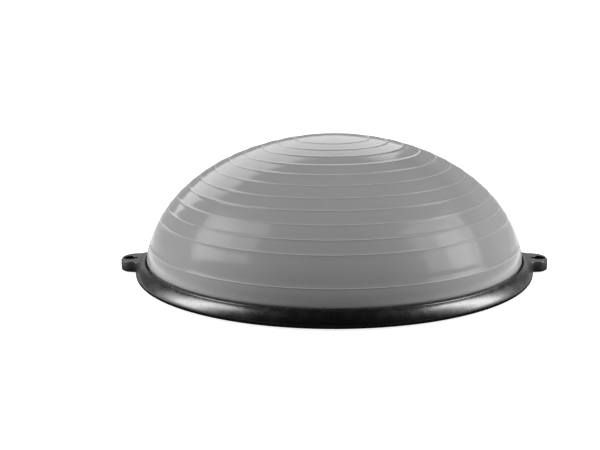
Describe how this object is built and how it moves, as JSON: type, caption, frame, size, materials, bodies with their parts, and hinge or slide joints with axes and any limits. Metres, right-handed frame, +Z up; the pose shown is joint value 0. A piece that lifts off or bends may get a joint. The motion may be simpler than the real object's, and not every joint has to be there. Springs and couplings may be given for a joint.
{
  "type": "balance dome trainer",
  "caption": "Inflated half-dome balance trainer: a ribbed air bladder clamped to a rigid round platform by a ring with a keyhole band anchor on each side.",
  "frame": {"origin": "on the floor, at the centre of the base under the foot pads", "axes": "+Z up through the dome, +X through the right-hand keyhole lug, +Y away from the side seen in the picture"},
  "size_m": [0.63, 0.58, 0.2006],
  "materials": {
    "bladder_pvc": "satin grey PVC, faint mottle, moulded grip rings",
    "ring_plastic": "satin black moulded plastic with a fine grain",
    "platform_plastic": "matte black moulded plastic",
    "valve_pvc": "smooth grey PVC",
    "plug_plastic": "smooth black plastic",
    "pad_rubber": "matte black rubber",
    "screw_steel": "zinc-plated steel"
  },
  "bodies": {
    "base": {"clamp_ring": "ring_plastic", "base_platform": "platform_plastic", "valve_seat": "valve_pvc", "foot_pad_1": "pad_rubber", "foot_pad_2": "pad_rubber", "foot_pad_3": "pad_rubber", "foot_pad_4": "pad_rubber", "foot_pad_5": "pad_rubber", "foot_pad_6": "pad_rubber", "clamp_screw_01": "screw_steel", "clamp_screw_02": "screw_steel", "clamp_screw_03": "screw_steel", "clamp_screw_04": "screw_steel", "clamp_screw_05": "screw_steel", "clamp_screw_06": "screw_steel", "clamp_screw_07": "screw_steel", "clamp_screw_08": "screw_steel", "clamp_screw_09": "screw_steel", "clamp_screw_10": "screw_steel", "clamp_screw_11": "screw_steel", "clamp_screw_12": "screw_steel"},
    "dome": {"air_bladder": "bladder_pvc"},
    "plug": {"air_plug": "plug_plastic"}
  },
  "joints": [
    {"name": "dome_press", "type": "slide", "parent": "base", "child": "dome", "axis": [0, 0, -1], "range_m": [0, 0.06], "stiffness_N_per_m": 12000, "springref_m": -0.005, "deforming": ["air_bladder"]},
    {"name": "air_plug_pull", "type": "slide", "parent": "base", "child": "plug", "axis": [0, 0, -1], "range_m": [0, 0.03]}
  ]
}
